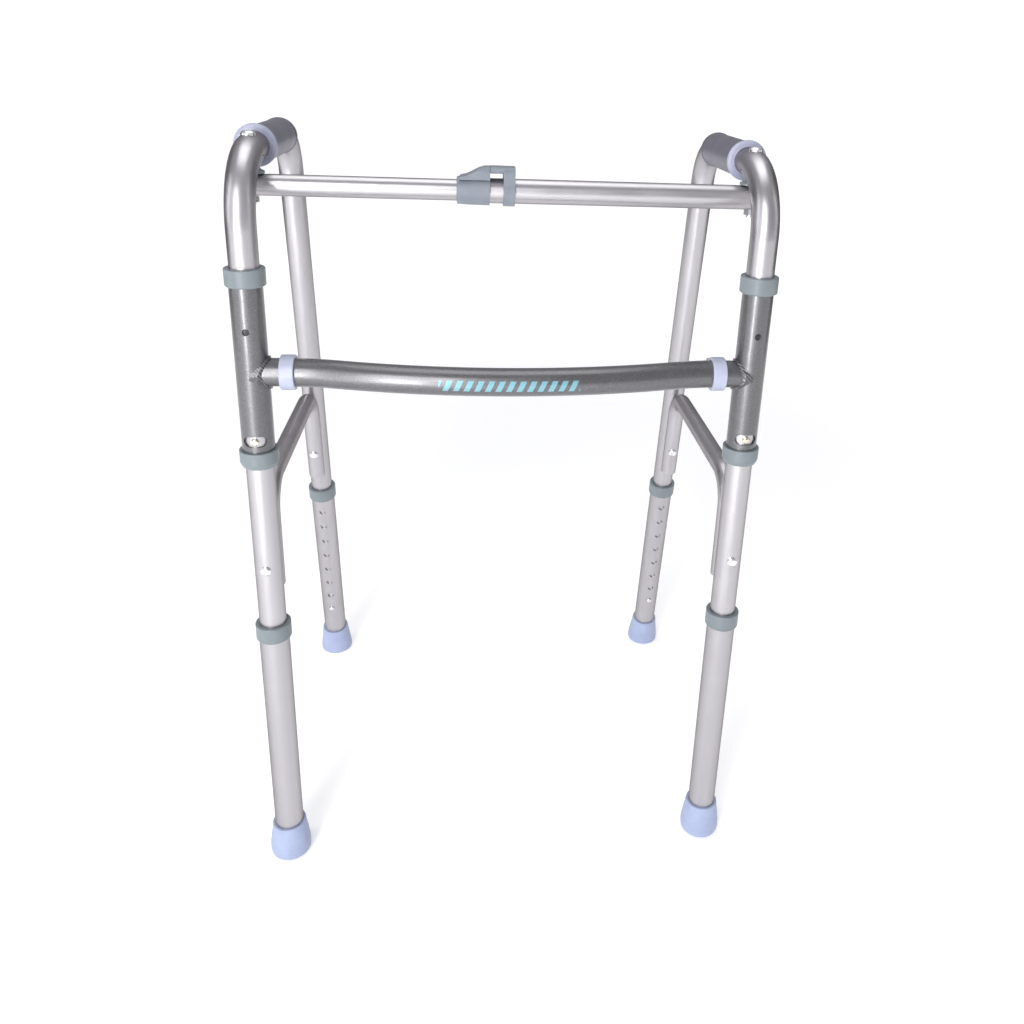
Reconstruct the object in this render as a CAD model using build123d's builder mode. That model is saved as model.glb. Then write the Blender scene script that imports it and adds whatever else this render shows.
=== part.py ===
"""Folding walking frame: two bent side frames that swing in the sleeves of a bowed front unit.

Millimetres, +Z up, -Y is the front of the frame and +Y the side where the user stands.
Left is -X. The floor is Z = 0.
"""

import os
from math import atan2, cos, degrees, radians, sin, tan

from build123d import *

os.makedirs("parts", exist_ok=True)

# Layout
HALF_TRACK = 225.0  # side-frame axis to the middle
FRONT_Y = -172.5  # axis of the two front legs
HANDLE_Z = 731.0  # axis of the hand-grip run
REAR_RUN = 362.0  # rear foot behind the front leg, at the floor
REAR_TOP_RUN = 228.0  # rear leg behind the front leg, at handle height
FRONT_BEND = 60.0
REAR_BEND = 48.0
FRAME_END = 62.0  # frame tubes stop this far above the floor, inside the lower legs

# Fits
TOUCH = 0.02  # between faces of one assembly that meet
SLIP = 0.05  # between a pin and its hole

# Tubes
FRAME_R = 12.7
FRAME_BORE = 11.5
SLEEVE_R = 14.3
SLEEVE_BORE = 12.78
BOW_R = 12.7
BOW_BORE = 11.2
BRACE_R = 9.5
BRACE_BORE = 8.3

# Front unit
SLEEVE_LOW = 458.0
SLEEVE_TOP = 635.0
BOW_Z = 543.8
BOW_DEPTH = 25.0
BOW_STRAIGHT = 25.0
BOW_END_R = 200.0
SPARE_HOLE_Z = 584.0
SPARE_HOLE_R = 3.1
SLOT_Z = 482.0
SLOT_LONG = 20.0
SLOT_WIDE = 10.2
COLLAR_R = 17.2
COLLAR_BORE = 12.85
UPPER_COLLAR_LOW = 622.0
UPPER_COLLAR_TOP = 637.6
LOWER_COLLAR_LOW = 455.0
LOWER_COLLAR_TOP = 471.2
WELD_WIDE = 2.0  # leg length of the weld bead
CLAMP_X = 31.0  # band clamp from the sleeve axis
CLAMP_WIDE = 12.5
CLAMP_R = 15.8
CLAMP_BORE = BOW_R + 0.35
CLAMP_EAR_END = 28.0  # end of the ears behind the bowed bar's axis
CLAMP_EAR_TALL = 9.0
CLAMP_GAP = 1.6
SCREW_BACK = 21.6  # clamp screw behind the bowed bar's axis
SCREW_R = 2.5

# Hand grip
GRIP_R = 17.0
GRIP_BORE = FRAME_R + 0.03
FLANGE_R = 19.0
FLANGE_WIDE = 5.2

# Top bar
BAR_Y = 51.0  # bar pivots behind the front-leg axis
BAR_Z = 700.0
SMALL_R = 9.5
SMALL_BORE = 8.3
BIG_R = 11.1
BIG_BORE = 10.15
BAR_OVERHANG = 9.0
PLUG_DEEP = 4.0
BOLT_R = 3.0
BOLT_HEAD_R = 6.3
BUSH_R = 4.54
SADDLE_R = 12.4
SADDLE_WAIST_R = 7.6
NUT_R = 5.6  # across the corners, halved
LATCH_R = 13.0  # lower half of the latch sleeve
LATCH_TRAVEL = 4.6
LATCH_CREST = 21.7  # top of the latch above the bar's axis

# Side braces
BRACE_Z = 424.0
BRACE_END = 316.0
BRACE_BEND = 32.0
BRACE_GAP = 22.3  # brace axis to leg axis
RIVET_Z = 350.0
RIVET_R = 2.5
RIVET_HEAD_R = 4.9

# Lower legs, measured along the leg from the floor
HOLE_PITCH = 24.1
HOLE_COUNT = 8
FIRST_HOLE = 84.5
HOLE_R = 3.75
BUTTON_R = 3.5
LEG_FOOT_END = 6.0
LEG_TOP = 284.0
LEG_COLLAR_R = 16.7
LEG_COLLAR_LOW = 270.0
LEG_COLLAR_TOP = 287.0
FOOT_TALL = 39.0
FOOT_R = 20.8
FOOT_NECK_R = 17.0

REAR_ANGLE = atan2(REAR_RUN - REAR_TOP_RUN, HANDLE_Z)
SIDES = (("left", -1), ("right", 1))


def leg_plane(side_x, where):
    """Plane on the floor at a leg, its normal running up the leg and its Y pointing back."""
    if where == "front":
        return Plane(origin=(side_x, FRONT_Y, 0), x_dir=(1, 0, 0), z_dir=(0, 0, 1))
    return Plane(
        origin=(side_x, FRONT_Y + REAR_RUN, 0),
        x_dir=(1, 0, 0),
        z_dir=(0, -sin(REAR_ANGLE), cos(REAR_ANGLE)),
    )


def round_profile(plane, outer, inner, start, end):
    """A straight tube along the plane's normal."""
    with BuildSketch(plane.offset(start)) as ring:
        Circle(outer)
        Circle(inner, mode=Mode.SUBTRACT)
    extrude(ring.sketch, amount=end - start)


def drill(plane, height, radius, reach_from, reach_to):
    """A hole across a leg at a height, from one reach to another along the leg's Y."""
    base = plane.offset(height)
    across = Plane(origin=base.origin, x_dir=base.x_dir, z_dir=base.y_dir)
    with BuildSketch(across.offset(reach_from)) as hole:
        Circle(radius)
    extrude(hole.sketch, amount=reach_to - reach_from, mode=Mode.SUBTRACT)


def turned(plane, points, rounds=(), mode=Mode.ADD):
    """A turned shape about the plane's normal from (radius, height) points.

    rounds lists the corners that are rounded, as (number in points, fillet radius).
    """
    upright = Plane(origin=plane.origin, x_dir=plane.x_dir, z_dir=-plane.y_dir)
    with BuildSketch(upright) as profile:
        with BuildLine():
            Polyline(*points, close=True)
        make_face()
        for number, size in rounds:
            corner = Vector(*points[number])
            fillet(profile.vertices().sort_by_distance(corner)[0], size)
    revolve(profile.sketch, axis=Axis(plane.origin, plane.z_dir), mode=mode)


def facing(plane, height, sign):
    """Plane whose normal looks out of a leg, backward for +1 and forward for -1."""
    base = plane.offset(height)
    return Plane(origin=base.origin, x_dir=base.x_dir, z_dir=base.y_dir * sign)


def save(part, name):
    part.label = name
    export_step(part, f"parts/{name}.step")


# ---------------------------------------------------------------- front unit
bow_turn = 2 * atan2(BOW_DEPTH, HALF_TRACK - BOW_STRAIGHT)
bow_sweep = degrees(bow_turn)
bow_wide_r = (HALF_TRACK - BOW_STRAIGHT) / sin(bow_turn) - BOW_END_R

with BuildPart() as bow_bar:
    with BuildLine(Plane.XY.offset(BOW_Z)) as bow_path:
        lead_in = Line((-HALF_TRACK, FRONT_Y), (-HALF_TRACK + BOW_STRAIGHT, FRONT_Y))
        end_arc = JernArc(lead_in @ 1, lead_in % 1, BOW_END_R, -bow_sweep)
        wide_arc = JernArc(end_arc @ 1, end_arc % 1, bow_wide_r, 2 * bow_sweep)
        far_arc = JernArc(wide_arc @ 1, wide_arc % 1, BOW_END_R, -bow_sweep)
        Line(far_arc @ 1, (HALF_TRACK, FRONT_Y))
    with BuildSketch(
        Plane(origin=(-HALF_TRACK, FRONT_Y, BOW_Z), x_dir=(0, 1, 0), z_dir=(1, 0, 0))
    ):
        Circle(BOW_R)
        Circle(BOW_BORE, mode=Mode.SUBTRACT)
    sweep(path=bow_path.line)
    with Locations((-HALF_TRACK, FRONT_Y, BOW_Z), (HALF_TRACK, FRONT_Y, BOW_Z)):
        Cylinder(SLEEVE_R + TOUCH, 4 * BOW_R, mode=Mode.SUBTRACT)
    with Locations(
        (-HALF_TRACK - 20, FRONT_Y, BOW_Z), (HALF_TRACK + 20, FRONT_Y, BOW_Z)
    ):
        Box(40, 60, 60, mode=Mode.SUBTRACT)
save(bow_bar.part, "bow_bar")

for side, sx in SIDES:
    axis_x = sx * HALF_TRACK
    front_leg = leg_plane(axis_x, "front")

    with BuildPart() as sleeve:
        round_profile(front_leg, SLEEVE_R, SLEEVE_BORE, SLEEVE_LOW, SLEEVE_TOP)
        drill(front_leg, SPARE_HOLE_Z, SPARE_HOLE_R, -SLEEVE_R - 5, 0)
        slot_plane = Plane(
            origin=(axis_x, FRONT_Y - 30, SLOT_Z), x_dir=(1, 0, 0), z_dir=(0, 1, 0)
        )
        with BuildSketch(slot_plane):
            SlotOverall(SLOT_LONG, SLOT_WIDE)
        extrude(amount=30, mode=Mode.SUBTRACT)
    save(sleeve.part, f"{side}_sleeve")

    with BuildPart() as upper_collar:
        turned(
            front_leg,
            (
                (SLEEVE_R, UPPER_COLLAR_LOW),
                (COLLAR_R, UPPER_COLLAR_LOW),
                (COLLAR_R, UPPER_COLLAR_TOP),
                (COLLAR_BORE, UPPER_COLLAR_TOP),
                (COLLAR_BORE, SLEEVE_TOP),
                (SLEEVE_R, SLEEVE_TOP),
            ),
            rounds=((1, 1.6), (2, 1.0)),
        )
    save(upper_collar.part, f"{side}_upper_collar")

    with BuildPart() as lower_collar:
        turned(
            front_leg,
            (
                (SLEEVE_R, SLEEVE_LOW),
                (COLLAR_BORE, SLEEVE_LOW),
                (COLLAR_BORE, LOWER_COLLAR_LOW),
                (COLLAR_R - 2.0, LOWER_COLLAR_LOW),
                (COLLAR_R, LOWER_COLLAR_LOW + 4.4),
                (COLLAR_R, LOWER_COLLAR_TOP),
                (SLEEVE_R, LOWER_COLLAR_TOP),
            ),
            rounds=((3, 0.8), (4, 3.0), (5, 1.0)),
        )
    save(lower_collar.part, f"{side}_lower_collar")

    # weld bead that follows the joint of the bowed tube and the sleeve
    with BuildPart() as weld:
        with Locations((axis_x, FRONT_Y, BOW_Z)):
            Cylinder(BOW_R + WELD_WIDE, 60, rotation=(0, 90, 0))
            Cylinder(SLEEVE_R + WELD_WIDE, 60, mode=Mode.INTERSECT)
            Cylinder(SLEEVE_R + TOUCH, 60, mode=Mode.SUBTRACT)
            Cylinder(BOW_R + TOUCH / 2, 60, rotation=(0, 90, 0), mode=Mode.SUBTRACT)
        with Locations((axis_x + sx * 20, FRONT_Y, BOW_Z)):
            Box(40, 60, 60, mode=Mode.SUBTRACT)
    save(weld.part, f"{side}_weld")

    # band clamp round the bowed tube, its ears drawn together behind it by an upright screw
    clamp_x = axis_x - sx * CLAMP_X
    clamp_y = FRONT_Y - 0.15
    with BuildPart() as clamp:
        with BuildSketch(
            Plane(
                origin=(clamp_x, clamp_y, BOW_Z), x_dir=(0, 1, 0), z_dir=(1, 0, 0)
            )
        ):
            Circle(CLAMP_R)
            with Locations((CLAMP_EAR_END / 2, 0)):
                Rectangle(CLAMP_EAR_END, CLAMP_EAR_TALL)
        extrude(amount=CLAMP_WIDE / 2, both=True)
        with Locations((clamp_x, clamp_y + SCREW_BACK, BOW_Z)):
            Box(30, 20, CLAMP_GAP, mode=Mode.SUBTRACT)
            Cylinder(SCREW_R + SLIP, 40, mode=Mode.SUBTRACT)
        with Locations((clamp_x, clamp_y, BOW_Z)):
            Cylinder(CLAMP_BORE, 40, rotation=(0, 90, 0), mode=Mode.SUBTRACT)
        fillet(clamp.edges().filter_by(Axis.X).sort_by(Axis.Y)[-4:], 1.2)
        rims = clamp.edges().filter_by(GeomType.CIRCLE)
        fillet(rims.filter_by(lambda e: abs(e.radius - CLAMP_R) < 0.01), 0.9)
    save(clamp.part, f"{side}_clamp")

    with BuildPart() as clamp_screw:
        turned(
            Plane(origin=(clamp_x, clamp_y + SCREW_BACK, BOW_Z)),
            (
                (0, -11.5),
                (SCREW_R, -11.5),
                (SCREW_R, CLAMP_EAR_TALL / 2 + TOUCH),
                (5.4, CLAMP_EAR_TALL / 2 + TOUCH),
                (5.4, 7.8),
                (0, 7.8),
            ),
            rounds=((4, 1.9),),
        )
    save(clamp_screw.part, f"{side}_clamp_screw")

    with BuildPart() as clamp_nut:
        with BuildSketch(
            Plane(
                origin=(clamp_x, clamp_y + SCREW_BACK, BOW_Z - CLAMP_EAR_TALL / 2 - SLIP),
                z_dir=(0, 0, -1),
            )
        ):
            RegularPolygon(5.0, 6)
            Circle(SCREW_R, mode=Mode.SUBTRACT)
        extrude(amount=4.5)
    save(clamp_nut.part, f"{side}_clamp_nut")

# ---------------------------------------------------------------- side frames
bend_run = REAR_BEND * tan((radians(90) - REAR_ANGLE) / 2)
turn = 90 - degrees(REAR_ANGLE)
grip_front = FRONT_Y + 79.0
grip_rear = FRONT_Y + REAR_TOP_RUN - bend_run - 1.0

for side, sx in SIDES:
    axis_x = sx * HALF_TRACK
    front_leg = leg_plane(axis_x, "front")
    rear_leg = leg_plane(axis_x, "rear")

    with BuildLine(Plane.YZ.offset(axis_x)) as frame_path:
        rise = Line((FRONT_Y, FRAME_END), (FRONT_Y, HANDLE_Z - FRONT_BEND))
        front_arc = JernArc(rise @ 1, rise % 1, FRONT_BEND, -90)
        handle = Line(front_arc @ 1, (FRONT_Y + REAR_TOP_RUN - bend_run, HANDLE_Z))
        rear_arc = JernArc(handle @ 1, handle % 1, REAR_BEND, -turn)
        Line(
            rear_arc @ 1,
            (
                FRONT_Y + REAR_RUN - FRAME_END * sin(REAR_ANGLE),
                FRAME_END * cos(REAR_ANGLE),
            ),
        )

    bend_centre = Location(
        (axis_x, FRONT_Y + FRONT_BEND, HANDLE_Z - FRONT_BEND), (0, 90, 0)
    )
    bolt_y = FRONT_Y + BAR_Y
    bar_top = BAR_Z + (SMALL_R if side == "left" else BIG_R)
    bolt_end = BAR_Z - SMALL_R - 7.0 if side == "left" else bar_top + 0.45

    with BuildPart() as frame_tube:
        with BuildSketch(front_leg.offset(FRAME_END)):
            Circle(FRAME_R)
            Circle(FRAME_BORE, mode=Mode.SUBTRACT)
        sweep(path=frame_path.line)
        with Locations((axis_x, bolt_y, HANDLE_Z)):
            Cylinder(BOLT_R + SLIP, 60, mode=Mode.SUBTRACT)
        drill(front_leg, RIVET_Z, RIVET_R + SLIP, -FRAME_R - 2, FRAME_R + 2)
        drill(rear_leg, RIVET_Z / cos(REAR_ANGLE), RIVET_R + SLIP, -FRAME_R - 2, FRAME_R + 2)
        drill(front_leg, FIRST_HOLE, BUTTON_R + SLIP, 0, FRAME_R + 2)
        drill(rear_leg, FIRST_HOLE, BUTTON_R + SLIP, -FRAME_R - 2, 0)
        drill(front_leg, SLOT_Z, BUTTON_R + SLIP, -FRAME_R - 2, 0)
    save(frame_tube.part, f"{side}_frame_tube")

    # side brace: an upside-down U riveted behind the front leg and before the rear leg
    rear_inner = Plane(
        origin=rear_leg.origin - rear_leg.y_dir * BRACE_GAP,
        x_dir=rear_leg.x_dir,
        z_dir=rear_leg.z_dir,
    )
    rear_end = BRACE_END / cos(REAR_ANGLE)
    rear_foot = rear_inner.origin + rear_inner.z_dir * rear_end
    corner_s = (BRACE_Z - rear_inner.origin.Z) / cos(REAR_ANGLE)
    corner_y = rear_inner.origin.Y - corner_s * sin(REAR_ANGLE)
    brace_run = BRACE_BEND * tan((radians(90) - REAR_ANGLE) / 2)
    with BuildPart() as brace:
        with BuildLine(Plane.YZ.offset(axis_x)) as brace_path:
            up = Line(
                (FRONT_Y + BRACE_GAP, BRACE_END),
                (FRONT_Y + BRACE_GAP, BRACE_Z - BRACE_BEND),
            )
            first_arc = JernArc(up @ 1, up % 1, BRACE_BEND, -90)
            across = Line(first_arc @ 1, (corner_y - brace_run, BRACE_Z))
            second_arc = JernArc(across @ 1, across % 1, BRACE_BEND, -turn)
            Line(second_arc @ 1, (rear_foot.Y, rear_foot.Z))
        with BuildSketch(
            Plane(
                origin=(axis_x, FRONT_Y + BRACE_GAP, BRACE_END),
                x_dir=(1, 0, 0),
                z_dir=(0, 0, 1),
            )
        ):
            Circle(BRACE_R)
            Circle(BRACE_BORE, mode=Mode.SUBTRACT)
        sweep(path=brace_path.line)
        drill(front_leg, RIVET_Z, RIVET_R + SLIP, 0, BRACE_GAP + BRACE_R + 2)
        drill(
            rear_leg, RIVET_Z / cos(REAR_ANGLE), RIVET_R + SLIP, -BRACE_GAP - BRACE_R - 2, 0
        )
    save(brace.part, f"{side}_brace")

    for where, leg, height, sign in (
        ("front", front_leg, RIVET_Z, -1),
        ("rear", rear_leg, RIVET_Z / cos(REAR_ANGLE), 1),
    ):
        with BuildPart() as rivet:
            tail = -BRACE_GAP - BRACE_R
            turned(
                facing(leg, height, sign),
                (
                    (0, FRAME_R - 0.9),
                    (RIVET_HEAD_R, FRAME_R - 0.9),
                    (RIVET_HEAD_R, FRAME_R + 0.9),
                    (3.4, FRAME_R + 2.2),
                    (0, FRAME_R + 2.7),
                ),
                rounds=((2, 0.5), (3, 1.6)),
            )
            turned(
                facing(leg, height, sign),
                (
                    (0, tail - 2.6),
                    (3.4, tail - 2.1),
                    (RIVET_HEAD_R, tail - 0.8),
                    (RIVET_HEAD_R, tail + 1.2),
                    (0, tail + 1.2),
                ),
                rounds=((1, 1.6), (2, 0.5)),
            )
            with BuildSketch(leg.offset(height - 20)):
                Circle(FRAME_R + TOUCH)
            extrude(amount=40, mode=Mode.SUBTRACT)
            with BuildSketch(leg.offset(height - 20)):
                with Locations((0, -sign * BRACE_GAP)):
                    Circle(BRACE_R + TOUCH)
            extrude(amount=40, mode=Mode.SUBTRACT)
            turned(
                facing(leg, height, sign),
                (
                    (0, tail - 0.5),
                    (RIVET_R, tail - 0.5),
                    (RIVET_R, FRAME_R + 0.5),
                    (0, FRAME_R + 0.5),
                ),
            )
        save(rivet.part, f"{side}_{where}_rivet")

    grip_long = grip_rear - grip_front
    with BuildPart() as grip:
        turned(
            Plane(origin=(axis_x, grip_front, HANDLE_Z), x_dir=(1, 0, 0), z_dir=(0, 1, 0)),
            (
                (GRIP_BORE, 0),
                (GRIP_R - 0.5, 0),
                (GRIP_R, 4.0),
                (GRIP_R, grip_long - 6.5),
                (GRIP_R + 0.7, grip_long - 4.6),
                (GRIP_R + 0.7, grip_long - 1.4),
                (GRIP_R - 1.4, grip_long),
                (GRIP_BORE, grip_long),
            ),
            rounds=((4, 1.2), (5, 1.2)),
        )
    save(grip.part, f"{side}_grip")

    with BuildPart() as grip_flange:
        turned(
            Plane(
                origin=(axis_x, grip_front - FLANGE_WIDE, HANDLE_Z),
                x_dir=(1, 0, 0),
                z_dir=(0, 1, 0),
            ),
            (
                (GRIP_BORE, 0),
                (FLANGE_R - 3.0, 0),
                (FLANGE_R, 0.9),
                (FLANGE_R, 3.9),
                (GRIP_R - 0.5, FLANGE_WIDE),
                (GRIP_BORE, FLANGE_WIDE),
            ),
            rounds=((2, 1.6), (3, 1.2)),
        )
    save(grip_flange.part, f"{side}_grip_flange")

    # waisted spacer between the handle tube and the end of the top bar
    saddle_low = bar_top + 0.4
    saddle_high = HANDLE_Z - 6.0
    with BuildPart() as saddle:
        turned(
            Plane(origin=(axis_x, bolt_y, 0)),
            (
                (BOLT_R + SLIP, saddle_low),
                (SADDLE_R - 0.6, saddle_low),
                (SADDLE_R - 0.6, saddle_low + 1.8),
                (SADDLE_WAIST_R, saddle_low + 4.2),
                (SADDLE_R, saddle_high),
                (BOLT_R + SLIP, saddle_high),
            ),
            rounds=((1, 0.5), (2, 0.6), (3, 1.5)),
        )
        with Locations(bend_centre):
            Torus(FRONT_BEND, FRAME_R + 0.03, mode=Mode.SUBTRACT)
    save(saddle.part, f"{side}_saddle")

    with BuildPart() as pivot_bolt:
        crown = HANDLE_Z - 1.2 + FRAME_R
        turned(
            Plane(origin=(axis_x, bolt_y, 0)),
            (
                (0, bolt_end),
                (BOLT_R, bolt_end),
                (BOLT_R, crown - 1.0),
                (BOLT_HEAD_R, crown - 1.0),
                (BOLT_HEAD_R, crown + 1.2),
                (4.2, crown + 3.1),
                (0, crown + 3.6),
            ),
            rounds=((4, 0.6), (5, 2.0)),
        )
        with Locations(bend_centre):
            Torus(FRONT_BEND, FRAME_R + TOUCH, mode=Mode.SUBTRACT)
        with Locations((axis_x, bolt_y, (bolt_end + crown) / 2)):
            Cylinder(BOLT_R, crown - bolt_end)
    save(pivot_bolt.part, f"{side}_pivot_bolt")

# ---------------------------------------------------------------- lower legs
for side, sx in SIDES:
    for where, facing_sign in (("front", 1), ("rear", -1)):
        leg = leg_plane(sx * HALF_TRACK, where)
        name = f"{side}_{where}"

        with BuildPart() as leg_tube:
            round_profile(leg, SLEEVE_R, SLEEVE_BORE, LEG_FOOT_END, LEG_TOP)
            for i in range(HOLE_COUNT):
                reach = (0, SLEEVE_R + 2) if facing_sign > 0 else (-SLEEVE_R - 2, 0)
                drill(leg, FIRST_HOLE + i * HOLE_PITCH, HOLE_R, *reach)
        save(leg_tube.part, f"{name}_leg")

        with BuildPart() as leg_collar:
            turned(
                leg,
                (
                    (SLEEVE_R + TOUCH, LEG_COLLAR_LOW),
                    (LEG_COLLAR_R, LEG_COLLAR_LOW),
                    (LEG_COLLAR_R, LEG_COLLAR_TOP),
                    (COLLAR_BORE, LEG_COLLAR_TOP),
                    (COLLAR_BORE, LEG_TOP),
                    (SLEEVE_R + TOUCH, LEG_TOP),
                ),
                rounds=((1, 2.0), (2, 1.0)),
            )
        save(leg_collar.part, f"{name}_leg_collar")

        # the foot's underside is level, so on a raked leg it starts lower down
        low = 0.0 if where == "front" else -FOOT_R * sin(REAR_ANGLE)
        with BuildPart() as foot:
            turned(
                leg,
                (
                    (0, low),
                    (FOOT_R - 0.9, low),
                    (FOOT_R, low + 8.0),
                    (FOOT_R - 0.3, low + 14.0),
                    (FOOT_R - 1.7, low + 24.0),
                    (FOOT_NECK_R, FOOT_TALL - 2.5),
                    (FOOT_NECK_R, FOOT_TALL),
                    (SLEEVE_R + TOUCH, FOOT_TALL),
                    (SLEEVE_R + TOUCH, LEG_FOOT_END),
                    (0, LEG_FOOT_END),
                ),
                rounds=((1, 5.0), (2, 8.0), (4, 12.0), (6, 0.9)),
            )
            with Locations((leg.origin.X, leg.origin.Y, -20)):
                Box(80, 80, 40, mode=Mode.SUBTRACT)
        save(foot.part, f"{name}_foot")

        with BuildPart() as leg_button:
            turned(
                facing(leg, FIRST_HOLE, facing_sign),
                (
                    (0, 9.4),
                    (5.0, 9.4),
                    (5.0, 10.2),
                    (BUTTON_R, 10.2),
                    (BUTTON_R, 14.9),
                    (2.6, 15.7),
                    (1.3, 16.1),
                    (0, 16.2),
                ),
            )
        save(leg_button.part, f"{name}_leg_button")

    front_leg = leg_plane(sx * HALF_TRACK, "front")
    with BuildPart() as swing_button:
        turned(
            facing(front_leg, SLOT_Z, -1),
            (
                (0, 9.4),
                (5.0, 9.4),
                (5.0, 10.2),
                (BUTTON_R, 10.2),
                (BUTTON_R, 14.4),
                (2.6, 15.1),
                (1.3, 15.4),
                (0, 15.5),
            ),
        )
    save(swing_button.part, f"{side}_swing_button")

# ---------------------------------------------------------------- telescoping top bar
bar_y = FRONT_Y + BAR_Y
bar_axis = Plane(origin=(0, bar_y, BAR_Z), x_dir=(0, 1, 0), z_dir=(1, 0, 0))

with BuildPart() as bar_small_tube:
    round_profile(bar_axis, SMALL_R, SMALL_BORE, -HALF_TRACK - BAR_OVERHANG, 62.0)
    with Locations((-HALF_TRACK, bar_y, BAR_Z)):
        Cylinder(BUSH_R + 0.06, 60, mode=Mode.SUBTRACT)
save(bar_small_tube.part, "bar_small_tube")

with BuildPart() as bar_big_tube:
    round_profile(bar_axis, BIG_R, BIG_BORE, -19.0, HALF_TRACK + BAR_OVERHANG)
    with Locations((HALF_TRACK, bar_y, BAR_Z)):
        Cylinder(BOLT_R + SLIP, 60, mode=Mode.SUBTRACT)
    with Locations((0, bar_y, BAR_Z - BIG_R)):
        Cylinder(2.8, 6, mode=Mode.SUBTRACT)
save(bar_big_tube.part, "bar_big_tube")

with BuildPart() as bar_liner:
    round_profile(bar_axis, BIG_BORE - 0.06, SMALL_R + 0.06, 6.0, 38.0)
save(bar_liner.part, "bar_liner")

with BuildPart() as bar_bush:
    turned(
        Plane(origin=(-HALF_TRACK, bar_y, BAR_Z)),
        (
            (BOLT_R + 0.06, -SMALL_R - 0.6),
            (BUSH_R, -SMALL_R - 0.6),
            (BUSH_R, SMALL_R + 0.25),
            (BOLT_R + 0.06, SMALL_R + 0.25),
        ),
    )
save(bar_bush.part, "bar_bush")

for side, x0, radius, bore in (
    ("left", -HALF_TRACK - BAR_OVERHANG, SMALL_R, SMALL_BORE),
    ("right", HALF_TRACK + BAR_OVERHANG, BIG_R, BIG_BORE),
):
    outward = -1 if side == "left" else 1
    with BuildPart() as end_plug:
        turned(
            Plane(origin=(x0, bar_y, BAR_Z), x_dir=(0, 1, 0), z_dir=(outward, 0, 0)),
            (
                (0, -PLUG_DEEP),
                (bore - TOUCH, -PLUG_DEEP),
                (bore - TOUCH, TOUCH),
                (radius, TOUCH),
                (radius - 0.4, 1.0),
                (radius - 4.0, 2.2),
                (0, 2.2),
            ),
        )
    save(end_plug.part, f"bar_{side}_plug")

# nut under the left pivot, on the bolt that rides the left frame
with BuildPart() as left_pivot_nut:
    with BuildSketch(
        Plane(origin=(-HALF_TRACK, bar_y, BAR_Z - SMALL_R - 0.8), z_dir=(0, 0, -1))
    ):
        RegularPolygon(NUT_R, 6)
        Circle(BOLT_R, mode=Mode.SUBTRACT)
    extrude(amount=4.6)
save(left_pivot_nut.part, "left_pivot_nut")

# lower end of the right pivot, on the bar
with BuildPart() as right_pivot_stud:
    turned(
        Plane(origin=(HALF_TRACK, bar_y, BAR_Z)),
        (
            (0, -BIG_R - 7.0),
            (BOLT_R, -BIG_R - 7.0),
            (BOLT_R, BIG_R - 0.4),
            (0, BIG_R - 0.4),
        ),
    )
save(right_pivot_stud.part, "right_pivot_stud")

with BuildPart() as right_pivot_nut:
    with BuildSketch(
        Plane(origin=(HALF_TRACK, bar_y, BAR_Z - BIG_R + 0.9), z_dir=(0, 0, -1))
    ):
        RegularPolygon(NUT_R, 6)
    extrude(amount=5.6)
    with Locations((0, bar_y, BAR_Z)):
        Cylinder(
            BIG_R + TOUCH, 1000, rotation=(0, 90, 0), mode=Mode.SUBTRACT
        )
    with Locations((HALF_TRACK, bar_y, BAR_Z - BIG_R)):
        Cylinder(BOLT_R, 40, mode=Mode.SUBTRACT)
save(right_pivot_nut.part, "right_pivot_nut")

# hump of the latch sleeve: its side outline, kept within a rounded cross-section
with BuildPart() as hump:
    with BuildSketch(
        Plane(origin=(0, bar_y, BAR_Z), x_dir=(1, 0, 0), z_dir=(0, -1, 0))
    ):
        with BuildLine():
            Polyline(
                (-45.0, 10.4),
                (-44.0, 12.5),
                (-39.0, 13.6),
                (-34.0, 15.8),
                (-27.0, 19.6),
                (-23.0, 21.2),
                (-19.0, LATCH_CREST),
                (-17.5, LATCH_CREST),
                (-17.5, 10.4),
                close=True,
            )
        make_face()
    extrude(amount=20.0, both=True)
    with BuildSketch(bar_axis.offset(-50.0)):
        with Locations((0, LATCH_CREST - 14.0)):
            RectangleRounded(23.0, 28.0, 6.0)
    extrude(amount=40.0, mode=Mode.INTERSECT)

# latch sleeve that leads the small tube into the big one
with BuildPart() as latch_sleeve:
    turned(
        bar_axis,
        (
            (SMALL_R + 0.1, -47.0),
            (LATCH_R - 1.4, -47.0),
            (LATCH_R - 0.6, -46.2),
            (LATCH_R - 0.2, -36.0),
            (LATCH_R + 0.1, -17.5),
            (BIG_R + TOUCH, -17.5),
            (BIG_R + TOUCH, -19.0),
            (SMALL_R + 0.1, -19.0),
        ),
    )
    add(hump.part)
    with Locations((-32.0, bar_y, BAR_Z)):
        Cylinder(SMALL_R + 0.1, 40, rotation=(0, 90, 0), mode=Mode.SUBTRACT)
    with Locations((-17.0, bar_y, BAR_Z)):
        Cylinder(BIG_R + TOUCH, 4, rotation=(0, 90, 0), mode=Mode.SUBTRACT)
save(latch_sleeve.part, "latch_sleeve")

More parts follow.
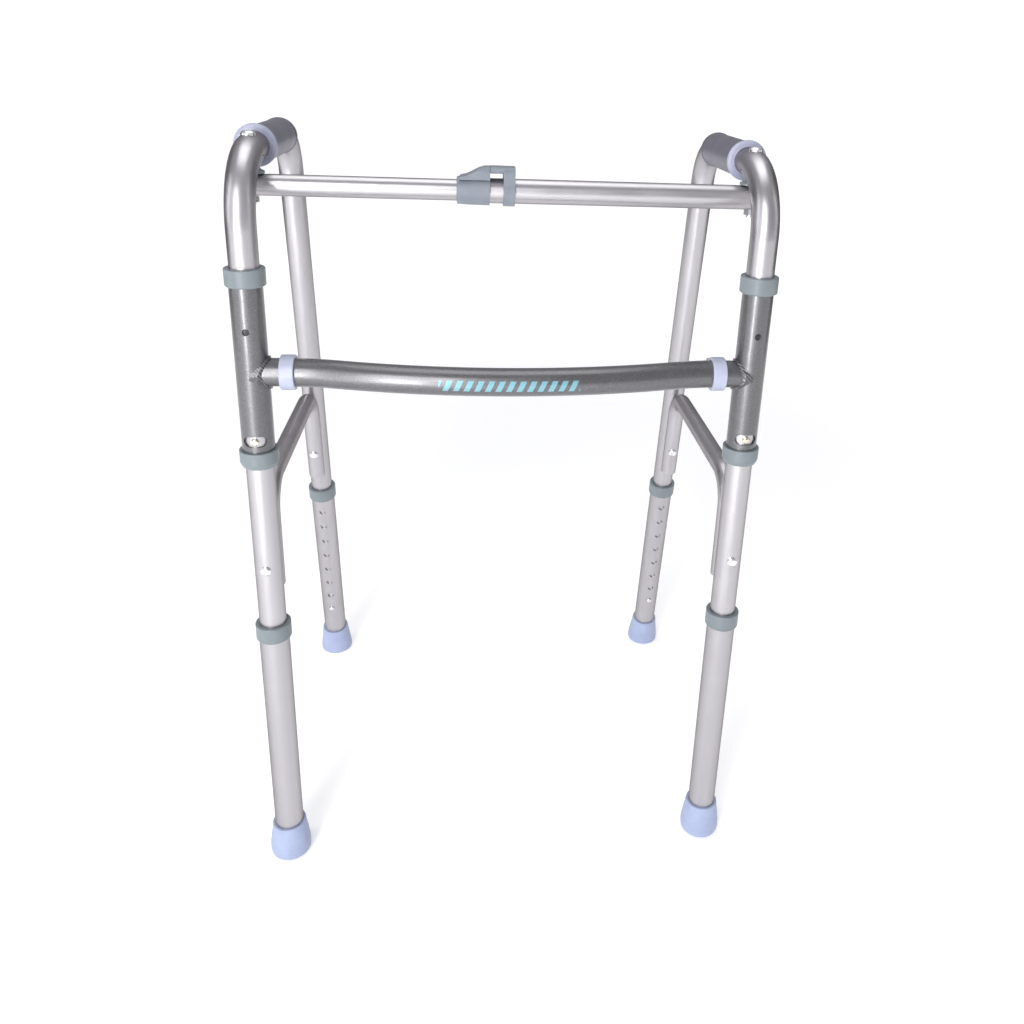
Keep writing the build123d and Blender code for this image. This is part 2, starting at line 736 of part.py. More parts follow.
# press latch: an arched ring round the big tube, a bridge to the sleeve and a peg below
with BuildPart() as latch_press:
    with BuildSketch(bar_axis.offset(-5.5)):
        Circle(13.6)
        with Locations((0, LATCH_CREST - 14.0)):
            RectangleRounded(25.0, 28.0, 6.0)
    extrude(amount=10.5)
    with BuildSketch(bar_axis.offset(-5.5)):
        Circle(BIG_R + 0.25)
        with Locations((0, LATCH_TRAVEL / 2)):
            Rectangle(2 * BIG_R + 0.5, LATCH_TRAVEL)
        with Locations((0, LATCH_TRAVEL)):
            Circle(BIG_R + 0.25)
    extrude(amount=10.5, mode=Mode.SUBTRACT)
    with BuildSketch(bar_axis.offset(-17.2)):
        with Locations((0, LATCH_CREST - 2.8)):
            RectangleRounded(20.0, 5.6, 2.4)
    extrude(amount=11.7)
    with Locations((0, bar_y, BAR_Z - 10.9)):
        Cylinder(2.5, 2.2)
save(latch_press.part, "latch_press")
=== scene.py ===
import math

import bpy
from mathutils import Matrix, Vector


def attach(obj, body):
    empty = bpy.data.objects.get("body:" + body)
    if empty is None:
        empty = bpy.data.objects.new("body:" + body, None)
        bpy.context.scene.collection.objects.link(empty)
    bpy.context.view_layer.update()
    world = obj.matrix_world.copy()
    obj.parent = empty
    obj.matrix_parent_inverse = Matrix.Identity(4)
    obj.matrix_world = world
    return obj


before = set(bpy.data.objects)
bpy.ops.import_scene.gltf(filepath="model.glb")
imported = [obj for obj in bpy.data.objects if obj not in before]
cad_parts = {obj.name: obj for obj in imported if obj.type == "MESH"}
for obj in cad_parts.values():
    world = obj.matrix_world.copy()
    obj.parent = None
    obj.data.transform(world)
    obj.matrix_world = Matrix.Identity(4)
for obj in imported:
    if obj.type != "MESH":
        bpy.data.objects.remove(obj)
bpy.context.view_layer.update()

bpy.ops.object.select_all(action="DESELECT")


# ---- Drawn aluminium tube
# The side frames and braces are bent from drawn round tube, satin anodised. Drawing leaves
# faint lines along the tube, and handling leaves soft smudges and a few fine scratches.
def add_node(tree, kind, **settings):
    """A shader node with plain settings, and socket values given as in_NAME."""
    node = tree.nodes.new(kind)
    for key, value in settings.items():
        if key.startswith("in_"):
            node.inputs[key[3:].replace("_", " ")].default_value = value
        else:
            setattr(node, key, value)
    return node


def ramp(tree, source, *stops):
    """A colour ramp on a value, from (place, grey or colour) stops."""
    node = tree.nodes.new("ShaderNodeValToRGB")
    elements = node.color_ramp.elements
    for i, (place, shade) in enumerate(stops):
        element = elements[i] if i < 2 else elements.new(place)
        element.position = place
        colour = shade if isinstance(shade, tuple) else (shade, shade, shade)
        element.color = (*colour, 1.0)
    tree.links.new(source, node.inputs["Fac"])
    return node.outputs["Color"]


def mix(tree, blend, amount, first, second):
    """Two colours mixed. Each of amount, first and second is a value or a socket."""
    node = add_node(tree, "ShaderNodeMix", data_type="RGBA", blend_type=blend)
    for socket, given in ((0, amount), (6, first), (7, second)):
        if isinstance(given, bpy.types.NodeSocket):
            tree.links.new(given, node.inputs[socket])
        elif isinstance(given, tuple):
            node.inputs[socket].default_value = (*given, 1.0)
        else:
            node.inputs[socket].default_value = given
    return node.outputs[2]


def sums(tree, operation, first, second=0.0, third=0.0):
    """One maths node. Each term is a value or a socket."""
    node = add_node(tree, "ShaderNodeMath", operation=operation)
    for i, given in enumerate((first, second, third)):
        if isinstance(given, bpy.types.NodeSocket):
            tree.links.new(given, node.inputs[i])
        else:
            node.inputs[i].default_value = given
    return node.outputs[0]


def new_group(name, inputs, outputs):
    """An empty shader group with its named inputs and outputs."""
    group = bpy.data.node_groups.new(name, "ShaderNodeTree")
    for label, kind, value in inputs:
        socket = group.interface.new_socket(label, in_out="INPUT", socket_type=kind)
        if value is not None:
            socket.default_value = value
    for label, kind in outputs:
        group.interface.new_socket(label, in_out="OUTPUT", socket_type=kind)
    return group, group.nodes.new("NodeGroupInput"), group.nodes.new("NodeGroupOutput")


def place_group(tree, group, position, **values):
    """A group placed in a material, read at a position socket."""
    node = tree.nodes.new("ShaderNodeGroup")
    node.node_tree = group
    tree.links.new(position, node.inputs["Position"])
    for key, value in values.items():
        node.inputs[key.replace("_", " ")].default_value = value
    return node


def handling_marks():
    """Smudges, fine scratches and dust specks on anything that hands and floors touch."""
    group, inside, out = new_group(
        "handling marks",
        (
            ("Position", "NodeSocketVector", None),
            ("Smudge size", "NodeSocketFloat", 26.0),
            ("Scratch size", "NodeSocketFloat", 240.0),
            ("Speck size", "NodeSocketFloat", 900.0),
        ),
        (
            ("Smudge", "NodeSocketFloat"),
            ("Scratch", "NodeSocketFloat"),
            ("Speck", "NodeSocketFloat"),
        ),
    )
    link = group.links.new
    cloud = add_node(group, "ShaderNodeTexNoise", in_Detail=5.0, in_Roughness=0.62)
    link(inside.outputs["Position"], cloud.inputs["Vector"])
    link(inside.outputs["Smudge size"], cloud.inputs["Scale"])
    smudge = ramp(group, cloud.outputs["Fac"], (0.42, 0.0), (0.68, 1.0))

    warp = add_node(group, "ShaderNodeTexNoise", in_Scale=14.0, in_Detail=2.0)
    link(inside.outputs["Position"], warp.inputs["Vector"])
    bent = add_node(group, "ShaderNodeVectorMath", operation="MULTIPLY_ADD")
    link(warp.outputs["Color"], bent.inputs[0])
    bent.inputs[1].default_value = (0.02, 0.02, 0.02)
    link(inside.outputs["Position"], bent.inputs[2])
    cells = add_node(
        group, "ShaderNodeTexVoronoi", feature="DISTANCE_TO_EDGE", in_Randomness=1.0
    )
    link(bent.outputs[0], cells.inputs["Vector"])
    link(inside.outputs["Scratch size"], cells.inputs["Scale"])
    lines = ramp(group, cells.outputs["Distance"], (0.0, 1.0), (0.025, 0.0))
    patches = add_node(group, "ShaderNodeTexNoise", in_Scale=60.0, in_Detail=3.0)
    link(inside.outputs["Position"], patches.inputs["Vector"])
    where = ramp(group, patches.outputs["Fac"], (0.56, 0.0), (0.7, 1.0))
    scratch = sums(group, "MULTIPLY", lines, where)

    grains = add_node(group, "ShaderNodeTexVoronoi", in_Randomness=1.0)
    link(inside.outputs["Position"], grains.inputs["Vector"])
    link(inside.outputs["Speck size"], grains.inputs["Scale"])
    speck = ramp(group, grains.outputs["Distance"], (0.06, 1.0), (0.12, 0.0))
    link(smudge, out.inputs["Smudge"])
    link(scratch, out.inputs["Scratch"])
    link(speck, out.inputs["Speck"])
    return group


def drawn_lines():
    """Faint lines along a drawn tube, from noise stretched along one axis."""
    group, inside, out = new_group(
        "drawn lines",
        (
            ("Position", "NodeSocketVector", None),
            ("Along", "NodeSocketVector", (900.0, 900.0, 5.0)),
        ),
        (("Lines", "NodeSocketFloat"), ("Bands", "NodeSocketFloat")),
    )
    link = group.links.new
    stretch = add_node(group, "ShaderNodeVectorMath", operation="MULTIPLY")
    link(inside.outputs["Position"], stretch.inputs[0])
    link(inside.outputs["Along"], stretch.inputs[1])
    fine = add_node(
        group, "ShaderNodeTexNoise", in_Scale=1.0, in_Detail=4.0, in_Roughness=0.7
    )
    link(stretch.outputs[0], fine.inputs["Vector"])
    broad = add_node(group, "ShaderNodeTexNoise", in_Scale=0.16, in_Detail=2.0)
    link(stretch.outputs[0], broad.inputs["Vector"])
    link(fine.outputs["Fac"], out.inputs["Lines"])
    link(broad.outputs["Fac"], out.inputs["Bands"])
    return group


marks = handling_marks()
drawing = drawn_lines()


def new_material(name, metallic, roughness):
    """A material with a Principled shader, read at the piece's own coordinates."""
    material = bpy.data.materials.new(name)
    material.use_nodes = True
    tree = material.node_tree
    shader = tree.nodes["Principled BSDF"]
    shader.inputs["Metallic"].default_value = metallic
    shader.inputs["Roughness"].default_value = roughness
    place = tree.nodes.new("ShaderNodeTexCoord").outputs["Object"]
    return material, tree, shader, place


def raise_surface(tree, shader, height, depth, strength=1.0):
    """A bump from a height socket."""
    bump = add_node(tree, "ShaderNodeBump", in_Strength=strength, in_Distance=depth)
    tree.links.new(height, bump.inputs["Height"])
    tree.links.new(bump.outputs["Normal"], shader.inputs["Normal"])


def tube_finish(name, along, light, dark, roughness):
    """Satin anodised tube with lines along it."""
    smudged = (0.60, 0.585, 0.60)
    scratched = (0.80, 0.80, 0.82)
    line_depth = 0.00004
    material, tree, shader, place = new_material(name, 1.0, roughness)
    lines = place_group(tree, drawing, place, Along=along)
    touch = place_group(tree, marks, place)
    colour = mix(tree, "MIX", lines.outputs["Bands"], dark, light)
    colour = mix(tree, "MULTIPLY", 0.10, colour, lines.outputs["Lines"])
    dull = sums(tree, "MULTIPLY", touch.outputs["Smudge"], 0.16)
    colour = mix(tree, "MIX", dull, colour, smudged)
    bright = sums(tree, "MULTIPLY", touch.outputs["Scratch"], 0.35)
    colour = mix(tree, "MIX", bright, colour, scratched)
    tree.links.new(colour, shader.inputs["Base Color"])
    rough = sums(tree, "MULTIPLY_ADD", lines.outputs["Lines"], 0.12, roughness - 0.06)
    rough = sums(tree, "MULTIPLY_ADD", touch.outputs["Smudge"], 0.07, rough)
    rough = sums(tree, "MULTIPLY_ADD", touch.outputs["Scratch"], -0.08, rough)
    tree.links.new(rough, shader.inputs["Roughness"])
    shader.inputs["Anisotropic"].default_value = 0.25
    shader.inputs["Specular Tint"].default_value = (0.34, 0.31, 0.31, 1.0)
    raise_surface(tree, shader, lines.outputs["Lines"], line_depth, 0.35)
    return material


def dress(material, *names):
    """The material goes on these CAD nodes, in place of the one they came with."""
    for name in names:
        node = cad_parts[name]
        node.data.materials.clear()
        node.data.materials.append(material)


sides = ("left", "right")
corners = ("left_front", "left_rear", "right_front", "right_rear")
upright_lines = (900.0, 900.0, 5.0)
level_lines = (5.0, 900.0, 900.0)
pale_satin = (0.60, 0.585, 0.605)
deep_satin = (0.49, 0.475, 0.495)
pale_leg = (0.57, 0.555, 0.575)
deep_leg = (0.465, 0.45, 0.47)

frame_tube = tube_finish(
    "satin frame tube", upright_lines, pale_satin, deep_satin, 0.34
)
lower_tube = tube_finish("satin lower leg", upright_lines, pale_leg, deep_leg, 0.36)
bar_tube = tube_finish("satin top bar", level_lines, pale_satin, deep_satin, 0.33)
for side in sides:
    dress(frame_tube, f"{side}_frame_tube", f"{side}_brace")
for corner in corners:
    dress(lower_tube, f"{corner}_leg")
dress(bar_tube, "bar_small_tube", "bar_big_tube")


# ---- Bowed front bar and its sleeves
# Steel tube, welded and then coated in dark gunmetal with fine metal flake under a clear
# gloss. A plain band of slanted bars marks the middle of the bow.
def flake_paint():
    """Metal flake under clear lacquer: the flake's brightness, and a slow ripple."""
    group, inside, out = new_group(
        "metal flake",
        (
            ("Position", "NodeSocketVector", None),
            ("Flake size", "NodeSocketFloat", 2600.0),
        ),
        (("Flake", "NodeSocketFloat"), ("Ripple", "NodeSocketFloat")),
    )
    link = group.links.new
    flakes = add_node(group, "ShaderNodeTexVoronoi", in_Randomness=1.0)
    link(inside.outputs["Position"], flakes.inputs["Vector"])
    link(inside.outputs["Flake size"], flakes.inputs["Scale"])
    spread = add_node(group, "ShaderNodeSeparateColor")
    link(flakes.outputs["Color"], spread.inputs["Color"])
    ripple = add_node(group, "ShaderNodeTexNoise", in_Scale=420.0, in_Detail=3.0)
    link(inside.outputs["Position"], ripple.inputs["Vector"])
    link(spread.outputs["Red"], out.inputs["Flake"])
    link(ripple.outputs["Fac"], out.inputs["Ripple"])
    return group


flake = flake_paint()


def gunmetal(name):
    """Dark flake coat with soft orange peel, smudges and a few pale scratches."""
    flake_dark, flake_light = (0.105, 0.105, 0.110), (0.21, 0.21, 0.218)
    hazed, scratched = (0.20, 0.20, 0.205), (0.42, 0.42, 0.43)
    peel_depth = 0.00012
    material, tree, shader, place = new_material(name, 0.85, 0.36)
    coat = place_group(tree, flake, place)
    touch = place_group(tree, marks, place, Smudge_size=18.0, Scratch_size=170.0)
    colour = mix(tree, "MIX", coat.outputs["Flake"], flake_dark, flake_light)
    haze = sums(tree, "MULTIPLY", touch.outputs["Smudge"], 0.18)
    colour = mix(tree, "MIX", haze, colour, hazed)
    worn = sums(tree, "MULTIPLY", touch.outputs["Scratch"], 0.25)
    colour = mix(tree, "MIX", worn, colour, scratched)
    rough = sums(tree, "MULTIPLY_ADD", coat.outputs["Flake"], 0.10, 0.31)
    rough = sums(tree, "MULTIPLY_ADD", touch.outputs["Smudge"], 0.08, rough)
    tree.links.new(rough, shader.inputs["Roughness"])
    shader.inputs["Coat Weight"].default_value = 0.5
    shader.inputs["Coat Roughness"].default_value = 0.12
    raise_surface(tree, shader, coat.outputs["Ripple"], peel_depth, 0.3)
    return material, tree, shader, place, colour


sleeve_coat, sleeve_tree, sleeve_shader, _, sleeve_colour = gunmetal("gunmetal sleeve")
sleeve_tree.links.new(sleeve_colour, sleeve_shader.inputs["Base Color"])
for side in sides:
    dress(sleeve_coat, f"{side}_sleeve")

# a plain band of slanted pale-blue bars, on the front of the bow only
bow_coat, tree, shader, place, colour = gunmetal("gunmetal bow with plain band")
axes = add_node(tree, "ShaderNodeSeparateXYZ")
tree.links.new(place, axes.inputs[0])
bow_height = 0.5438
bow_middle = -0.197
band_half_length = 0.062
band_half_height = 0.0048
bar_half_pitch = 0.0046
bar_gap = 0.0021
bar_lean = -0.45
bar_colour = (0.20, 0.46, 0.54)
slant = sums(tree, "MULTIPLY_ADD", axes.outputs["Z"], bar_lean, axes.outputs["X"])
stripes = sums(tree, "PINGPONG", slant, bar_half_pitch)
bars = sums(tree, "GREATER_THAN", stripes, bar_gap)
near_middle = sums(tree, "COMPARE", axes.outputs["X"], 0.0, band_half_length)
level = sums(tree, "COMPARE", axes.outputs["Z"], bow_height, band_half_height)
facing = sums(tree, "LESS_THAN", axes.outputs["Y"], bow_middle)
band = sums(tree, "MULTIPLY", near_middle, level)
band = sums(tree, "MULTIPLY", band, bars)
band = sums(tree, "MULTIPLY", band, facing)
print_grain = add_node(tree, "ShaderNodeTexNoise", in_Scale=1500.0, in_Detail=2.0)
tree.links.new(place, print_grain.inputs["Vector"])
thin = ramp(tree, print_grain.outputs["Fac"], (0.3, 0.72), (0.7, 0.95))
band = sums(tree, "MULTIPLY", band, thin)
colour = mix(tree, "MIX", band, colour, bar_colour)
tree.links.new(colour, shader.inputs["Base Color"])
plain_metal = sums(tree, "MULTIPLY_ADD", band, -0.7, 0.85)
tree.links.new(plain_metal, shader.inputs["Metallic"])
dress(bow_coat, "bow_bar")

# the weld keeps its row of overlapping ripples under the coat
weld_coat, tree, shader, place, colour = gunmetal("gunmetal over weld")
beads = add_node(
    tree,
    "ShaderNodeTexWave",
    wave_type="BANDS",
    bands_direction="DIAGONAL",
    in_Scale=150.0,
    in_Distortion=2.4,
    in_Detail=2.0,
)
tree.links.new(place, beads.inputs["Vector"])
pits = add_node(tree, "ShaderNodeTexNoise", in_Scale=800.0, in_Detail=3.0)
tree.links.new(place, pits.inputs["Vector"])
height = sums(tree, "MULTIPLY_ADD", pits.outputs["Fac"], 0.35, beads.outputs["Fac"])
bead_depth = 0.0007
raise_surface(tree, shader, height, bead_depth, 0.9)
# the colour is darker where the ripples dip: painted shade in the troughs of the weld
shade = ramp(tree, beads.outputs["Fac"], (0.0, 0.55), (0.6, 1.0))
colour = mix(tree, "MULTIPLY", 0.7, colour, shade)
tree.links.new(colour, shader.inputs["Base Color"])
for side in sides:
    dress(weld_coat, f"{side}_weld")


# ---- Spare-hole shade discs
# The sleeve has a spare pin hole above the bowed bar on each side. A small black disc
# with a dished face sits in it, just under the surface of the tube. It is painted shade
# for the dark inside of the hole.
def spare_hole_shade_discs(material):
    """One disc of painted shade, modelled in the left sleeve and copied to the right one.
    """
    hole_radius = 0.00306
    hole_height = 0.584
    sleeve_across, sleeve_front = 0.225, -0.1725
    disc_depth = 0.0012
    disc_face = 0.0138
    rim, dish = 0.0007, 0.0005
    button_inset, button_rise = 0.0011, 0.0003
    edge_round = 0.00012
    bpy.ops.object.select_all(action="DESELECT")
    bpy.ops.mesh.primitive_cylinder_add(
        vertices=48,
        radius=hole_radius,
        depth=disc_depth,
        location=(
            -sleeve_across,
            sleeve_front - disc_face + disc_depth / 2,
            hole_height,
        ),
        rotation=(math.radians(90), 0, 0),
    )
    left_shade_disc = bpy.context.object
    left_shade_disc.name = "left_spare_hole_shade"
    bpy.ops.object.transform_apply(location=True, rotation=True, scale=True)
    bpy.ops.object.mode_set(mode="EDIT")
    bpy.ops.mesh.select_mode(type="FACE")
    bpy.ops.mesh.select_all(action="DESELECT")
    bpy.ops.object.mode_set(mode="OBJECT")
    for face in left_shade_disc.data.polygons:
        face.select = face.normal.y < -0.9
    bpy.ops.object.mode_set(mode="EDIT")
    bpy.ops.mesh.inset(thickness=rim)
    bpy.ops.transform.translate(value=(0.0, dish, 0.0))
    bpy.ops.mesh.inset(thickness=button_inset)
    bpy.ops.transform.translate(value=(0.0, -button_rise, 0.0))
    bpy.ops.object.mode_set(mode="OBJECT")
    bevel = left_shade_disc.modifiers.new("edge", "BEVEL")
    bevel.width = edge_round
    bevel.segments = 2
    bpy.ops.object.modifier_apply(modifier=bevel.name)
    bpy.ops.object.shade_smooth_by_angle(angle=math.radians(35))
    left_shade_disc.data.materials.append(material)

    right_shade_disc = left_shade_disc.copy()
    right_shade_disc.name = "right_spare_hole_shade"
    right_shade_disc.data = left_shade_disc.data.copy()
    right_shade_disc.data.transform(Matrix.Translation((2 * sleeve_across, 0.0, 0.0)))
    bpy.context.collection.objects.link(right_shade_disc)
    for shade_disc in (left_shade_disc, right_shade_disc):
        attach(shade_disc, "front_unit")


# ---- Moulded collars, saddles, plugs and latch
# Blue-grey polypropylene, injection moulded with a fine spark-eroded texture and slow
# flow marks. Handled patches rub paler and a few scratches show light.
def moulded(name, light, dark, roughness, grain=1500.0, depth=0.00006):
    """Satin moulded plastic with grain, flow marks and rubbed patches."""
    paler = tuple(min(1.0, c * 1.22 + 0.02) for c in light)
    material, tree, shader, place = new_material(name, 0.0, roughness)
    touch = place_group(tree, marks, place, Smudge_size=55.0, Scratch_size=320.0)
    flow = add_node(tree, "ShaderNodeTexNoise", in_Scale=38.0, in_Detail=3.0)
    flow.inputs["Distortion"].default_value = 0.8
    tree.links.new(place, flow.inputs["Vector"])
    pebbles = add_node(tree, "ShaderNodeTexNoise", in_Scale=grain, in_Detail=3.0)
    tree.links.new(place, pebbles.inputs["Vector"])
    tone = ramp(tree, flow.outputs["Fac"], (0.35, dark), (0.65, light))
    rub = sums(tree, "MULTIPLY", touch.outputs["Smudge"], 0.22)
    colour = mix(tree, "MIX", rub, tone, paler)
    fine = sums(tree, "MULTIPLY", touch.outputs["Scratch"], 0.3)
    colour = mix(tree, "MIX", fine, colour, paler)
    speckle = ramp(tree, pebbles.outputs["Fac"], (0.35, 0.94), (0.65, 1.0))
    colour = mix(tree, "MULTIPLY", 0.8, colour, speckle)
    tree.links.new(colour, shader.inputs["Base Color"])
    rough = sums(
        tree, "MULTIPLY_ADD", pebbles.outputs["Fac"], 0.14, roughness - 0.07
    )
    rough = sums(tree, "MULTIPLY_ADD", touch.outputs["Smudge"], 0.08, rough)
    tree.links.new(rough, shader.inputs["Roughness"])
    raise_surface(tree, shader, pebbles.outputs["Fac"], depth, 0.6)
    return material


collar_grey = moulded(
    "collar blue-grey", (0.190, 0.222, 0.238), (0.165, 0.195, 0.210), 0.38
)
latch_grey = moulded(
    "latch blue-grey", (0.205, 0.228, 0.265), (0.178, 0.200, 0.236), 0.36
)
for side in sides:
    dress(collar_grey, f"{side}_upper_collar", f"{side}_lower_collar", f"{side}_saddle")
for corner in corners:
    dress(collar_grey, f"{corner}_leg_collar")
dress(collar_grey, "bar_left_plug", "bar_right_plug")
dress(latch_grey, "latch_sleeve", "latch_press")

# a black disc in each spare hole is painted shade for the dark inside of the hole
hole_shade_black = moulded(
    "painted hole shade black", (0.020, 0.020, 0.024), (0.012, 0.012, 0.015), 0.4
)
spare_hole_shade_discs(hole_shade_black)

# nylon guide and pivot ring, hidden in the bar
nylon = moulded("natural nylon", (0.78, 0.77, 0.72), (0.72, 0.71, 0.66), 0.4)
dress(nylon, "bar_liner", "bar_bush")


# ---- Band clamps and grip flanges
# Pale lavender nylon. The bands go round the bow, split behind and drawn together by a
# screw through their ears. The flanges are rings at the front end of each grip.
clamp_lilac = moulded(
    "clamp lavender", (0.42, 0.445, 0.56), (0.38, 0.405, 0.52), 0.33
)
flange_lilac = moulded(
    "flange lavender", (0.36, 0.375, 0.48), (0.32, 0.335, 0.44), 0.34
)
for side in sides:
    dress(clamp_lilac, f"{side}_clamp")
    dress(flange_lilac, f"{side}_grip_flange")


# ---- Hand grips
# Violet-grey vinyl pushed over the handle, satin, with a coarser and deeper grain than
# the collars.
soft_grain_depth = 0.00010
grip_vinyl = moulded(
    "grip vinyl",
    (0.125, 0.120, 0.155),
    (0.100, 0.097, 0.128),
    0.38,
    grain=1100.0,
    depth=soft_grain_depth,
)
for side in sides:
    dress(grip_vinyl, f"{side}_grip")


# ---- Feet
# Pale periwinkle rubber tips pressed on the legs. Their skin is the most matt of the
# moulded parts, with the coarsest grain.
foot_rubber = moulded(
    "foot periwinkle",
    (0.35, 0.405, 0.575),
    (0.31, 0.362, 0.53),
    0.42,
    grain=900.0,
    depth=soft_grain_depth,
)
for corner in corners:
    dress(foot_rubber, f"{corner}_foot")


# ---- Screws, nuts, rivets and snap buttons
# Zinc-plated steel fasteners, polished aluminium rivets, and snap buttons turned from
# nickel-plated steel. The two swing buttons are brass with worn plating.
def turned_metal(name, light, dark, roughness):
    """Bright turned or plated metal with a fine cut grain, worn patches and nicks."""
    nicked = (0.95, 0.95, 0.95)
    cut_depth = 0.00003
    material, tree, shader, place = new_material(name, 1.0, roughness)
    touch = place_group(tree, marks, place, Smudge_size=160.0, Scratch_size=700.0)
    cut = add_node(tree, "ShaderNodeTexNoise", in_Scale=1400.0, in_Detail=4.0)
    tree.links.new(place, cut.inputs["Vector"])
    colour = mix(tree, "MIX", touch.outputs["Smudge"], light, dark)
    nick = sums(tree, "MULTIPLY", touch.outputs["Scratch"], 0.4)
    colour = mix(tree, "MIX", nick, colour, nicked)
    tree.links.new(colour, shader.inputs["Base Color"])
    rough = sums(tree, "MULTIPLY_ADD", cut.outputs["Fac"], 0.12, roughness - 0.06)
    rough = sums(tree, "MULTIPLY_ADD", touch.outputs["Smudge"], 0.10, rough)
    tree.links.new(rough, shader.inputs["Roughness"])
    raise_surface(tree, shader, cut.outputs["Fac"], cut_depth, 0.5)
    return material


zinc = turned_metal("zinc-plated steel", (0.82, 0.82, 0.84), (0.66, 0.67, 0.70), 0.28)
rivet_metal = turned_metal(
    "rivet aluminium", (0.90, 0.90, 0.91), (0.76, 0.76, 0.78), 0.22
)
nickel = turned_metal(
    "nickel-plated steel", (0.84, 0.82, 0.80), (0.64, 0.62, 0.60), 0.18
)
brass = turned_metal("worn brass", (0.86, 0.76, 0.60), (0.70, 0.62, 0.50), 0.20)
for side in sides:
    dress(zinc, f"{side}_clamp_screw", f"{side}_clamp_nut", f"{side}_pivot_bolt")
    dress(zinc, f"{side}_pivot_nut")
    dress(rivet_metal, f"{side}_front_rivet", f"{side}_rear_rivet")
    dress(brass, f"{side}_swing_button")
dress(zinc, "right_pivot_stud")
for corner in corners:
    dress(nickel, f"{corner}_leg_button")


# ---- Floor and light
# A white paper floor under a white sky, so no horizon shows. Softboxes stand in front, to
# each side and above, with a low strip light in front of the legs.
floor_size = 14.0
floor_shift = 1.5
bpy.ops.mesh.primitive_plane_add(size=floor_size, location=(0.0, floor_shift, 0.0))
floor = bpy.context.object
floor.name = "studio floor"
floor_paper, tree, shader, place = new_material("white studio paper", 0.0, 0.8)
fibre = add_node(tree, "ShaderNodeTexNoise", in_Scale=180.0, in_Detail=4.0)
tree.links.new(place, fibre.inputs["Vector"])
paper_dark, paper_light = (0.90, 0.90, 0.905), (0.93, 0.93, 0.935)
paper = ramp(tree, fibre.outputs["Fac"], (0.3, paper_dark), (0.7, paper_light))
tree.links.new(paper, shader.inputs["Base Color"])
tree.links.new(paper, shader.inputs["Emission Color"])
# the paper glows more away from the object, so it fades into the white behind it
reach = add_node(tree, "ShaderNodeVectorMath", operation="DISTANCE")
tree.links.new(place, reach.inputs[0])
reach.inputs[1].default_value = (0.0, -floor_shift, 0.0)
glow = add_node(
    tree,
    "ShaderNodeMapRange",
    interpolation_type="SMOOTHSTEP",
    in_From_Min=0.8,
    in_From_Max=3.0,
    in_To_Min=0.26,
    in_To_Max=0.72,
)
tree.links.new(reach.outputs["Value"], glow.inputs["Value"])
tree.links.new(glow.outputs["Result"], shader.inputs["Emission Strength"])
floor.data.materials.append(floor_paper)


# dark side screens, seen only as the darker edges of the tubes
screen_away = 2.1
screen_behind = 1.0
screen_height = 1.1
screen_cloth, tree, shader, place = new_material("black screen cloth", 0.0, 0.9)
weave = add_node(tree, "ShaderNodeTexNoise", in_Scale=260.0, in_Detail=2.0)
tree.links.new(place, weave.inputs["Vector"])
cloth = ramp(tree, weave.outputs["Fac"], (0.3, 0.010), (0.7, 0.022))
tree.links.new(cloth, shader.inputs["Base Color"])
for side, across in (("left", -1.0), ("right", 1.0)):
    bpy.ops.mesh.primitive_plane_add(
        size=1.0,
        location=(across * screen_away, screen_behind, screen_height),
        rotation=(0.0, math.radians(90), 0.0),
    )
    screen = bpy.context.object
    screen.name = f"{side} side screen"
    screen.scale = (2.2, 2.6, 1.0)
    screen.data.materials.append(screen_cloth)
    screen.visible_camera = False
    screen.visible_shadow = False
    screen.visible_diffuse = False


def softbox(name, place, aim, width, height, power, tint=(1.0, 1.0, 1.0)):
    """An area light aimed at a point."""
    light = bpy.data.lights.new(name, "AREA")
    light.shape = "RECTANGLE"
    light.size = width
    light.size_y = height
    light.energy = power
    light.color = tint
    lamp = bpy.data.objects.new(name, light)
    lamp.matrix_world = (
        Matrix.Translation(place)
        @ (Vector(aim) - Vector(place)).to_track_quat("-Z", "Y").to_matrix().to_4x4()
    )
    bpy.context.collection.objects.link(lamp)


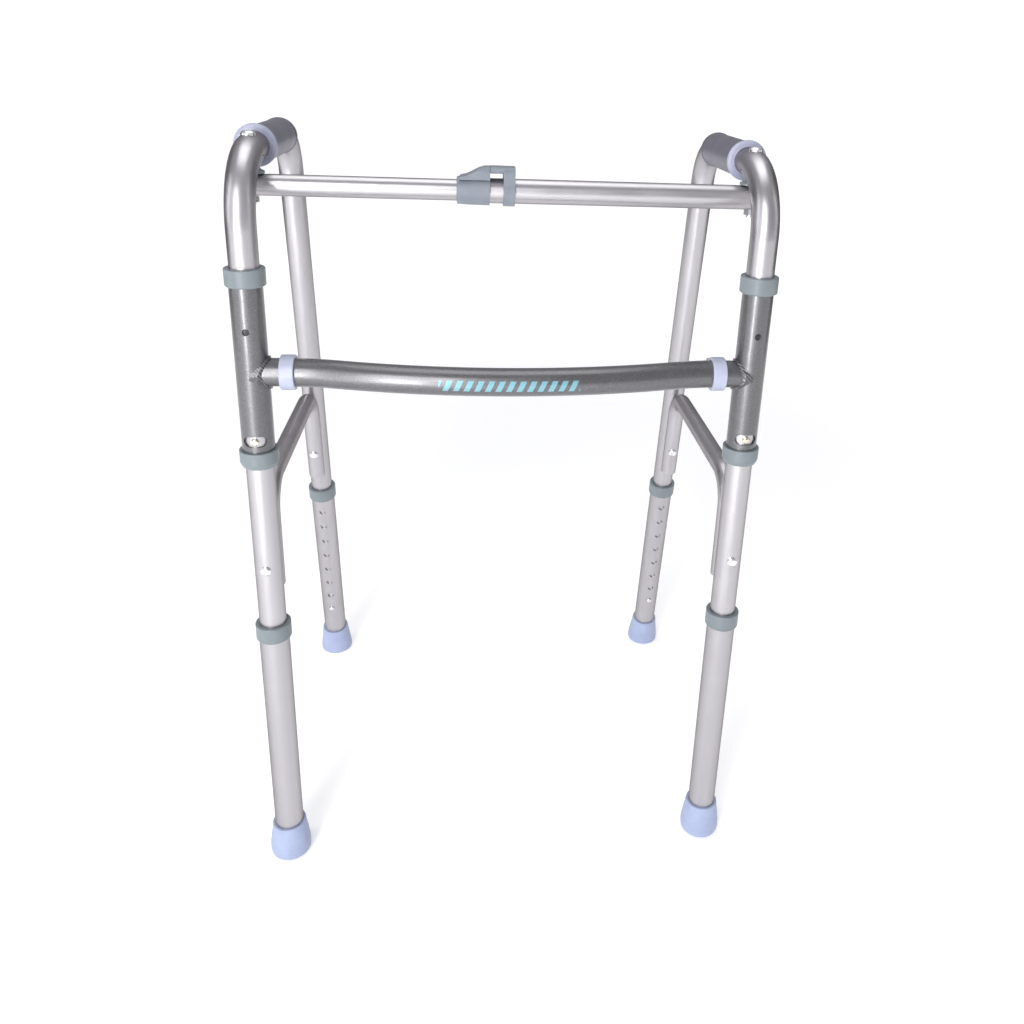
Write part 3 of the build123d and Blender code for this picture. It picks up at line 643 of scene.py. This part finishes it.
middle = (0.0, 0.0, 0.4)
legs = (0.0, -0.1, 0.35)
violet_white = (0.98, 0.97, 1.0)
cool_white = (0.97, 0.97, 1.0)
warm_white = (1.0, 0.98, 0.95)
softbox("front softbox", (-0.9, -2.4, 1.7), middle, 0.9, 1.6, 34.0, violet_white)
softbox("low strip light", (-0.75, -1.9, 0.45), legs, 0.35, 0.9, 17.0)
softbox("left softbox", (-2.4, -0.4, 1.3), middle, 1.0, 1.8, 16.0, cool_white)
softbox("right softbox", (2.4, -0.2, 1.3), middle, 0.7, 1.8, 9.0, warm_white)
softbox("top softbox", (0.0, 0.4, 3.0), middle, 2.0, 2.0, 24.0)

world = bpy.data.worlds.new("studio")
world.use_nodes = True
bpy.context.scene.world = world
# the backdrop shows white to the camera, while the light it gives stays soft
tree = world.node_tree
background = tree.nodes["Background"]
background.inputs["Color"].default_value = (0.96, 0.965, 1.0, 1.0)
sky_light = 0.42
sky_shown_extra = 0.66
shown = tree.nodes.new("ShaderNodeLightPath").outputs["Is Camera Ray"]
strength = sums(tree, "MULTIPLY_ADD", shown, sky_shown_extra, sky_light)
tree.links.new(strength, background.inputs["Strength"])
bpy.context.scene.view_settings.view_transform = "Standard"


# ---- Camera
# Chest height, in front of the frame and looking down at it, turned a little to the
# right and rolled a little. The lens is shifted, so the picture's middle is lower down.
lens_data = bpy.data.cameras.new("front camera")
camera = bpy.data.objects.new("front camera", lens_data)
bpy.context.collection.objects.link(camera)
camera_place = (-0.036, -0.9519, 0.8124)
pitch = 0.344
yaw = 0.120
roll = 0.043
ahead = Vector(
    (math.sin(yaw) * math.cos(pitch), math.cos(yaw) * math.cos(pitch), -math.sin(pitch))
)
level_right = Vector((math.cos(yaw), -math.sin(yaw), 0.0))
level_up = level_right.cross(ahead)
right = level_right * math.cos(roll) + level_up * math.sin(roll)
up = level_up * math.cos(roll) - level_right * math.sin(roll)
turn = Matrix((right, up, -ahead)).transposed().to_4x4()
camera.matrix_world = Matrix.Translation(camera_place) @ turn
lens_data.sensor_width = 36.0
lens_data.lens = 31.83
lens_data.shift_x = -0.0579
lens_data.shift_y = -0.1228
lens_data.clip_start = 0.01
bpy.context.scene.camera = camera
